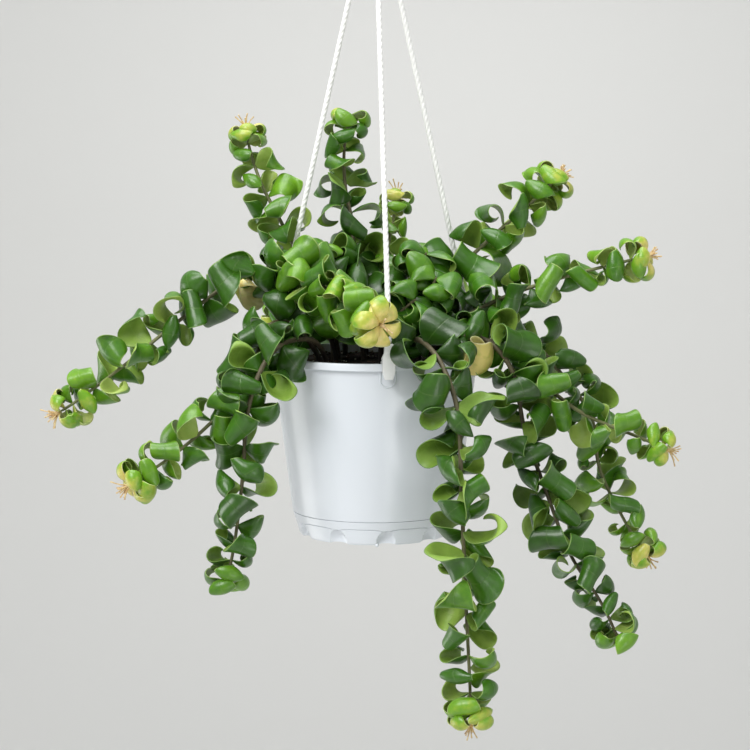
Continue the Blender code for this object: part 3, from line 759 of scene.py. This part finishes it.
leafShape = {
    "columns": 6,
    "rows": 12,
    "width": 29 * mm,  # across a leaf of size 1
    "curl": 9 * mm,  # mean radius it is rolled to
    "length": 280,  # degrees of that radius
    "thickness": 0.85 * mm,
    "closer": 0.78,  # distance between pairs, against the branch's own
    "tipSize": 0.72,  # a leaf at the tip, against one further back than tipFade
    "tipFade": 110 * mm,
    "stalk": 2.2 * mm,
    "smoothing": 1,
    "clearOfStrands": 4.4 * mm,
    "clearOfPot": 1.2 * mm,
    "paleReach": 5 * mm,  # a leaf whose middle is this near to a pale spot has yellowed
    "turnSpread": 28,  # degrees that a pair may be turned from its quarter
    "swaySpread": 0.3,  # the same for one leaf of a pair, in radians
    "ageSpread": 0.16,
    "sizeSpread": 0.14,
    "calmLevels": 4,  # so many pairs from the tip keep to the plainer roll
}
stemShape = {
    "sides": 8,
    "radius": 1.5 * mm,
    "step": 4 * mm,
    # how far up from the mix the stem is darkened by painted shade
    "paintedShadeLength": 34 * mm,
}
tuftShape = {
    "length": (6, 10.5),  # millimetres
    "radius": 0.52 * mm,
    "bud": 1.7 * mm,
}

# Where old leaves have yellowed: on the left of the crown and beside the front branch.
paleSpots = [Vector((-0.091, -0.006, rimZ + 0.041)), Vector((0.068, -0.061, rimZ + 0.002))]

# The pale leaves round a tip that carries flower stalks: how many, their age, size, how much they
# vary and how wide they are.
tipCrowns = {
    "branch_front_tip": (6, 1.05, 1.25, 0.45, 0.5),
    "others": (4, 1.0, 1.0, 0.3, 0.75),
}

# Each stem: leaf size, distance between pairs, length without leaves above the soil, age of its
# leaves at the soil and at the tip, where it leaves the soil (bearing, share of the mix's radius),
# its route (bearing, millimetres outside the rim, millimetres above the rim) and how many flower
# stalks its tip has.
branches = {
    "branch_back_left_up": (0.86, 16, 24, (0.30, 0.62), (140, 0.50), (
        (146, -36, 25), (149, -17, 60), (150, 0, 87), (151, 18, 118), (149, 30, 142),
        (148, 35, 158)), 11),
    "branch_back_up": (0.92, 15, 24, (0.1, 0.35), (112, 0.30), (
        (118, -52, 25), (120, -46, 57), (115, -37, 90), (117, -29, 115), (114, -21, 143),
        (108, -18, 169)), 0),
    "branch_back_short": (0.75, 15, 24, (0.3, 0.6), (80, 0.35), (
        (80, -42, 35), (79, -25, 75), (79, 2, 98), (79, 9, 108)), 11),
    "branch_right_up": (1.05, 16, 24, (0.2, 0.6), (30, 0.45), (
        (16, -38, 25), (10, -18, 56), (13, 12, 83), (15, 39, 104), (16, 61, 123)), 16),
    "branch_right_reach": (0.98, 17, 24, (0.2, 0.65), (-4, 0.45), (
        (-6, -25, 18), (-7, 6, 36), (-7, 41, 50), (-7, 83, 62), (-7, 115, 70)), 14),
    "branch_right_low": (0.86, 18, 24, (0.2, 0.6), (-20, 0.68), (
        (-21, -14, 12), (-20, 16, 9), (-21, 50, -18), (-19, 78, -38), (-17, 115, -53),
        (-16, 134, -61)), 7),
    "branch_right_fall": (0.95, 16, 24, (0.15, 0.6), (6, 0.74), (
        (4, -8, 16), (1, 27, 15), (0, 63, -23), (0, 79, -48), (0, 85, -84), (0, 103, -121),
        (0, 120, -148)), 6),
    "branch_right_hang": (0.95, 15, 24, (0.1, 0.25), (-36, 0.66), (
        (-34, -15, 14), (-32, 13, 14), (-30, 33, -7), (-28, 41, -48), (-26, 55, -89),
        (-24, 72, -134), (-22, 92, -166), (-21, 106, -195)), 0),
    "branch_front_hang": (1.02, 18, 24, (0.1, 0.5), (-62, 0.62), (
        (-66, -16, 14), (-65, 4, 14), (-64, 28, 0), (-62, 42, -30), (-62, 47, -81), (-61, 49, -148),
        (-60, 52, -215), (-60, 53, -240)), 7),
    "branch_left_long": (0.92, 16, 24, (0.1, 0.62), (-174, 0.40), (
        (-173, -35, 30), (-171, -10, 60), (-168, 24, 53), (-168, 63, 26), (-167, 102, -4),
        (-167, 135, -28), (-167, 148, -36)), 15),
    "branch_left_low": (0.98, 17, 30, (0.15, 0.62), (-158, 0.62), (
        (-158, -14, 22), (-152, 8, 22), (-145, 28, -8), (-144, 51, -31), (-147, 81, -57),
        (-149, 116, -79)), 15),
    "branch_left_hang": (0.95, 17, 34, (0.1, 0.35), (-134, 0.70), (
        (-134, -12, 14), (-134, 17, 12), (-135, 35, -6), (-136, 45, -37), (-136, 48, -71),
        (-137, 54, -119), (-139, 59, -152)), 0),
    "branch_front_tip": (0.95, 8, 40, (0.4, 0.66), (178, 0.42), (
        (177, -42, 30), (-171, -24, 54), (-153, -15, 62), (-117, -8, 49), (-95, 19, 35),
        (-88, 34, 30)), 3),
    "branch_crown_middle": (1.25, 16, 30, (0.05, 0.2), (20, 0.10), (
        (10, -62, 30), (-8, -48, 52), (-18, -38, 72)), 0),
    "branch_crown_front": (1.2, 15, 30, (0.05, 0.25), (-80, 0.36), (
        (-76, -46, 14), (-68, -34, 30), (-60, -20, 42)), 0),
    "branch_crown_left": (1.1, 14, 30, (0.15, 0.3), (-172, 0.12), (
        (170, -60, 30), (165, -50, 55), (160, -42, 75)), 0),
    "branch_crown_right": (1.15, 15, 28, (0.05, 0.3), (-30, 0.36), (
        (-34, -42, 24), (-36, -30, 42), (-38, -22, 56)), 0),
    "branch_back_reach_right": (1.0, 15, 24, (0.1, 0.4), (50, 0.62), (
        (50, -14, 22), (49, 14, 32), (48, 34, 30), (48, 48, 20)), 0),
    "branch_back_reach_left": (1.0, 15, 24, (0.1, 0.4), (128, 0.66), (
        (128, -12, 20), (127, 14, 28), (126, 34, 26), (125, 50, 14)), 0),
    "branch_back_hang": (0.95, 17, 24, (0.1, 0.45), (98, 0.66), (
        (96, -12, 16), (94, 16, 16), (92, 35, -12), (91, 42, -50), (90, 44, -88)), 6),
    "branch_back_hang_right": (0.95, 16, 24, (0.1, 0.45), (72, 0.74), (
        (72, -8, 14), (72, 16, 14), (72, 34, -8), (73, 41, -40), (73, 43, -62)), 0),
    "branch_back_hang_left": (0.95, 16, 24, (0.1, 0.45), (113, 0.80), (
        (113, -6, 14), (112, 18, 12), (111, 35, -14), (110, 42, -44), (110, 43, -66)), 0),
}


def smoothLine(points, perSpan=10):
    # dense line on a Catmull-Rom curve through the points
    ends = [points[0] * 2 - points[1]] + points + [points[-1] * 2 - points[-2]]
    line = []
    for i in range(1, len(ends) - 2):
        before, start, end, after = ends[i - 1:i + 3]
        for step in range(perSpan):
            t = step / perSpan
            slope = (end - before) * t
            bend = (2 * before - 5 * start + 4 * end - after) * t ** 2
            twist = (3 * start - before - 3 * end + after) * t ** 3
            line.append((2 * start + slope + bend + twist) / 2)
    line.append(points[-1])
    return line


def evenPoints(line, step):
    # points every step or so along a line, first and last kept
    lengths = [0.0]
    for start, end in zip(line, line[1:]):
        lengths.append(lengths[-1] + (end - start).length)
    count = max(2, round(lengths[-1] / step))
    points = []
    span = 0
    for i in range(count + 1):
        distance = lengths[-1] * i / count
        while span < len(line) - 2 and lengths[span + 1] < distance:
            span += 1
        share = (distance - lengths[span]) / (lengths[span + 1] - lengths[span])
        points.append(line[span].lerp(line[span + 1], share))
    return points, lengths[-1]


def stemLine(root, route):
    bearing, share = root
    mixRadius = (mixHigh.x - mixLow.x) / 2
    start = polar(bearing, share * mixRadius, mixHigh.z - 5 * mm)
    points = [start, start + Vector((0, 0, 10 * mm))]
    for bearing, beyond, above in route:
        points.append(polar(bearing, rimRadius + beyond * mm, rimZ + above * mm))
    return smoothLine(points)


def bladeWidth(along):
    # share of the full width: a short stalk, widest before the middle, a blunt end
    if along < 0.08:
        return 0.10 + 2.2 * along
    return max(0.04, math.sin(math.pi * min(1, (along - 0.02) / 0.98) ** 0.85)) ** 0.5


def tooNear(points):
    # True where a leaf would cut into the pot, the potting mix or a strand
    slope = (potShape["wallTop"] - potShape["seamRadius"]) / (rimZ - saucerHigh.z)
    for point in points:
        away = math.hypot(point.x, point.y)
        lip = rimRadius if point.z > rimZ - potShape["lipHeight"] - 1 * mm else 0
        wall = max(lip, potShape["wallTop"] + slope * (point.z - rimZ)) + leafShape["clearOfPot"]
        inside = away < potShape["lipInside"] - 1.5 * mm and point.z > mixHigh.z + 0.5 * mm
        if saucerLow.z < point.z < rimZ + 1.5 * mm and away < wall and not inside:
            return True
    for strand, start, length, path in strands:
        low, high = Vector(path[0]), Vector(path[-1])
        low.z -= 25 * mm  # the clip counts with its strand
        ahead = (high - low).normalized()
        for point in points:
            along = min(max((point - low).dot(ahead), 0), length)
            if (point - low - ahead * along).length < leafShape["clearOfStrands"]:
                return True
    return False


def leafPoints(flat, base, out, along, size, roll):
    # where a flat blade's points go: each is carried along a spiral that tightens to the tip
    lift, curl, skew, cup, bend, wave, phase, narrow = roll
    across = out.cross(along)
    half = narrow * leafShape["width"] * size / 2
    length = leafShape["curl"] * size * math.radians(leafShape["length"])
    steps = 24
    points = []
    for u, v in flat:
        place = base + out * leafShape["stalk"] * min(1, v / 0.1)
        angle = lift
        for i in range(round(steps * v)):
            share = (i + 0.5) / steps
            angle = lift - curl * share ** 1.25 * (1 + skew * u)
            place = place + (out * math.cos(angle) + along * math.sin(angle)) * (length / steps)
        inward = out * math.sin(angle) - along * math.cos(angle)
        width = half * bladeWidth(v) * min(1, narrow + 1.8 * v)
        ripple = wave * math.sin(7 * v + phase + 1.3 * u)
        place = place + across * (u * width + bend * half * v * v)
        points.append(place + inward * (width * u * u * (cup + ripple)))
    return points


def growLeaf(bm, layers, base, out, along, size, ages, chance, calm, narrow):
    # gives 1 if the leaf finds room, else 0; calm below 1 keeps it nearer to a plain, even roll
    ageLayer, leafMap = layers
    made = bmesh.ops.create_grid(bm, x_segments=leafShape["columns"], y_segments=leafShape["rows"],
                                 size=1)["verts"]
    flat = [(vert.co.x, (vert.co.y + 1) / 2) for vert in made]
    faces = {face for vert in made for face in vert.link_faces}
    for face in faces:
        for loop in face.loops:
            loop[leafMap].uv = ((loop.vert.co.x + 1) / 2, (loop.vert.co.y + 1) / 2)
    for attempt in range(8):
        turn = Matrix.Rotation(math.radians(calm * chance.uniform(-60, 60)), 3, out)
        roll = (
            math.radians(56 + calm * chance.uniform(-16, 16)),  # lift
            math.radians(270 + calm * chance.triangular(-120, 120, 25)),  # curl
            calm * chance.uniform(-0.38, 0.38),  # skew
            0.15 + calm * chance.uniform(-0.33, 0.33) + 0.4 * (1 - calm),  # cup
            calm * chance.uniform(-0.5, 0.5),  # bend
            calm * chance.uniform(0.05, 0.24),  # wave
            chance.uniform(0, math.tau),  # where the wave starts
            narrow,
        )
        points = leafPoints(flat, base, out, turn @ along, size, roll)
        if not tooNear(points):
            break
        size *= 0.9
    else:
        bmesh.ops.delete(bm, geom=made, context="VERTS")
        return 0
    middle = points[len(points) // 2]
    for spot in paleSpots[:]:
        if (spot - middle).length < leafShape["paleReach"]:
            ages = (1, 1)
            paleSpots.remove(spot)
    for vert, point, (u, v) in zip(made, points, flat):
        vert.co = point
        vert[ageLayer] = ages[0] + (ages[1] - ages[0]) * v
    return 1


def growStem(bm, ageLayer, points, radius, ages):
    count = len(points)
    radii = [radius * (1.3 - 0.65 * i / count) for i in range(count)]
    radii[-1] = 0.3 * radius
    frames = framesAlong(points)
    made = sweepAlong(bm, frames, radii, stemShape["sides"])
    for vert in made:
        nearest = min(range(0, count, 2), key=lambda i: (points[i] - vert.co).length_squared)
        # painted shade: the stem is darkened over its first stretch above the mix
        damp = 0.55 * max(0, 1 - nearest * stemShape["step"] / stemShape["paintedShadeLength"])
        vert[ageLayer] = ages[0] + (ages[1] - ages[0]) * nearest / count - damp
    return frames


def growTuft(bm, tip, ahead, count, chance):
    # dried flower stalks that fan out of a small bud on the tip, each a thin bent taper
    firstFace = len(bm.faces)
    radius = tuftShape["radius"]
    side = ahead.orthogonal().normalized()
    stretch = Matrix((side, ahead.cross(side), ahead)).transposed().to_4x4()
    bud = Matrix.Translation(tip + ahead * 1.5 * mm) @ stretch @ Matrix.Diagonal((1, 1, 1.6, 1))
    bmesh.ops.create_uvsphere(bm, u_segments=10, v_segments=7, radius=tuftShape["bud"], matrix=bud)
    for i in range(count):
        turn = Matrix.Rotation(math.tau * (i + chance.uniform(-0.35, 0.35)) / count, 3, ahead)
        fan = turn @ side
        length = chance.uniform(*tuftShape["length"]) * mm
        spread = chance.uniform(0.15, 0.95)
        points = []
        for step in range(5):
            t = step / 4
            points.append(tip + ahead * length * t + fan * (length * spread * t ** 1.6 + 0.5 * mm))
        radii = [radius * share for share in (1.3, 1.15, 0.95, 0.8, 1.1)]
        sweepAlong(bm, framesAlong(points, fan), radii, 5)
    bm.faces.ensure_lookup_table()
    for face in bm.faces[firstFace:]:
        face.material_index = 1


def vary(chance, spread):
    return chance.uniform(-leafShape[spread], leafShape[spread])


def makeBranch(name, look, number):
    size, pitch, bare, ages, root, route, stalks = look
    chance = random.Random(300 + number)
    points, length = evenPoints(stemLine(root, route), stemShape["step"])
    stemMesh = bmesh.new()
    stemAgeAndShade = stemMesh.verts.layers.float.new("age")
    frames = growStem(stemMesh, stemAgeAndShade, points, stemShape["radius"], ages)
    tipAhead = (points[-1] - points[-2]).normalized()
    if stalks:
        growTuft(stemMesh, points[-1], tipAhead, stalks, chance)
    bmesh.ops.recalc_face_normals(stemMesh, faces=stemMesh.faces)
    newPiece(name.replace("branch", "stem"), stemMesh, [bark, stalkMaterial], 60)

    bm = bmesh.new()
    layers = (bm.verts.layers.float.new("age"), bm.loops.layers.uv.new("leafMap"))
    step = length / (len(points) - 1)
    distance = length - 1 * mm
    level = 0
    grownLeaves = 0
    while distance > bare * mm:
        # pairs crowd together towards the tip, and each is turned a quarter from the last
        spot = distance / step
        index = min(int(spot), len(points) - 2)
        place = points[index].lerp(points[index + 1], spot - index)
        turn = frames[index].to_3x3()
        along = turn @ Vector((0, 0, 1))
        side = turn @ Vector((1, 0, 0))
        quarter = math.radians(90 * (level % 2) + vary(chance, "turnSpread"))
        share = distance / length
        grown = min(1, (length - distance) / leafShape["tipFade"])
        grown = leafShape["tipSize"] + (1 - leafShape["tipSize"]) * grown
        ways, crownAge, crownSize, narrow = 2, None, 1, 1
        calm = 0.5 if level < leafShape["calmLevels"] else 1
        if level == 0 and stalks:
            ways, crownAge, crownSize, calm, narrow = tipCrowns.get(name, tipCrowns["others"])
        for i in range(ways):
            way = math.tau * i / ways
            out = side.copy()
            sway = vary(chance, "swaySpread") if ways == 2 else 0
            out.rotate(Matrix.Rotation(quarter + way + sway, 3, along))
            age = ages[0] + (ages[1] - ages[0]) * share ** 1.5 + vary(chance, "ageSpread")
            if level < 3:
                age += 0.3 - 0.1 * level  # the last pairs are younger still
            leafAges = [min(1, max(0, age))] * 2
            if crownAge:
                leafAges = (crownAge, crownAge - 0.4)
            leafSize = size * grown * crownSize * (1 + calm * vary(chance, "sizeSpread"))
            grownLeaves += growLeaf(bm, layers, place, out, along, leafSize, leafAges,
                                    chance, calm, narrow)
        distance -= pitch * mm * leafShape["closer"] * (0.3 + 0.7 * min(1, level / 4))
        level += 1
    leaves = newPiece(name.replace("branch", "leaves"), bm, [leafUpper, leafUnder, leafMargin],
                      180)
    wall = leaves.modifiers.new("thickness", "SOLIDIFY")
    wall.thickness = leafShape["thickness"]
    wall.offset = -1
    wall.material_offset = 1
    wall.material_offset_rim = 2
    smooth = leaves.modifiers.new("smooth", "SUBSURF")
    smooth.levels = leafShape["smoothing"]
    smooth.render_levels = leafShape["smoothing"]
    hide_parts(name)
    return grownLeaves


leafCount = 0
for number, (name, look) in enumerate(branches.items()):
    leafCount += makeBranch(name, look, number)
print("plant made,", leafCount, "leaves")


# ---- backdrop and light

backdropShape = {
    "below": 1.5,  # from the rim down to the floor
    "floorRadius": 2.6,
    "bend": 1.4,
    "height": 4.2,
}

# Each softbox: where it stands and what it aims at, both counted from the middle of the rim, its
# size, watts and spread in degrees.
softboxes = {
    "key": ((-1.35, -1.9, 1.8), (0, 0, 0), (1.5, 1.5), 67, 180),
    "fill": ((2.2, -1.9, 0.5), (0, 0, 0), (1.2, 2.0), 7, 180),
    "top": ((-0.3, 0.0, 2.0), (0, 0, 0), (1.8, 1.8), 44, 180),
    "floor_bounce": ((0.9, -1.85, -0.9), (0, 0, 0), (0.7, 0.8), 1.7, 100),
    "left_bounce": ((-1.9, 0.5, -0.8), (0, 0, 0), (1.0, 1.2), 3.4, 100),
    "wall_wash": ((0.1, 2.2, 0.4), (0.1, 4.0, 0.15), (0.8, 0.5), 4, 120),
}


def makeBackdrop(look):
    # a round paper sweep, the same from every side
    floorZ = rimZ - look["below"]
    flat, bend = look["floorRadius"], look["bend"]
    profile = [Vector((0, floorZ)), Vector((flat, floorZ))]
    for step in range(1, 13):
        angle = math.radians(step * 7.5)
        away = flat + bend * math.sin(angle)
        profile.append(Vector((away, floorZ + bend * (1 - math.cos(angle)))))
    profile.append(Vector((flat + bend, floorZ + look["height"])))
    bm = spunProfile(profile, 96)
    tidyMesh(bm)
    mesh = meshFrom("backdrop", bm, [paperBackdrop()])
    mesh.shade_smooth()
    backdrop = newObject("backdrop", mesh)


def addSoftbox(name, place, aim, size, power, spread):
    data = bpy.data.lights.new(name, "AREA")
    data.shape = "RECTANGLE"
    data.size, data.size_y = size
    data.energy = power
    data.spread = math.radians(spread)
    light = newObject(name, data)
    light.visible_camera = False
    light.location = place
    light.rotation_euler = (Vector(aim) - Vector(place)).to_track_quat("-Z", "Y").to_euler()


def makeLight():
    world = bpy.data.worlds.new("studio")
    bpy.context.scene.world = world
    world.use_nodes = True
    background = world.node_tree.nodes["Background"]
    setInputs(background, {"Color": colour("#e8eaec"), "Strength": 0.54})
    for name, (place, aim, size, power, spread) in softboxes.items():
        (x, y, z), (aimX, aimY, aimZ) = place, aim
        addSoftbox(name, (x, y, rimZ + z), (aimX, aimY, rimZ + aimZ), size, power, spread)
    bpy.context.scene.view_settings.view_transform = "Standard"


makeBackdrop(backdropShape)
makeLight()
print("backdrop and light made")
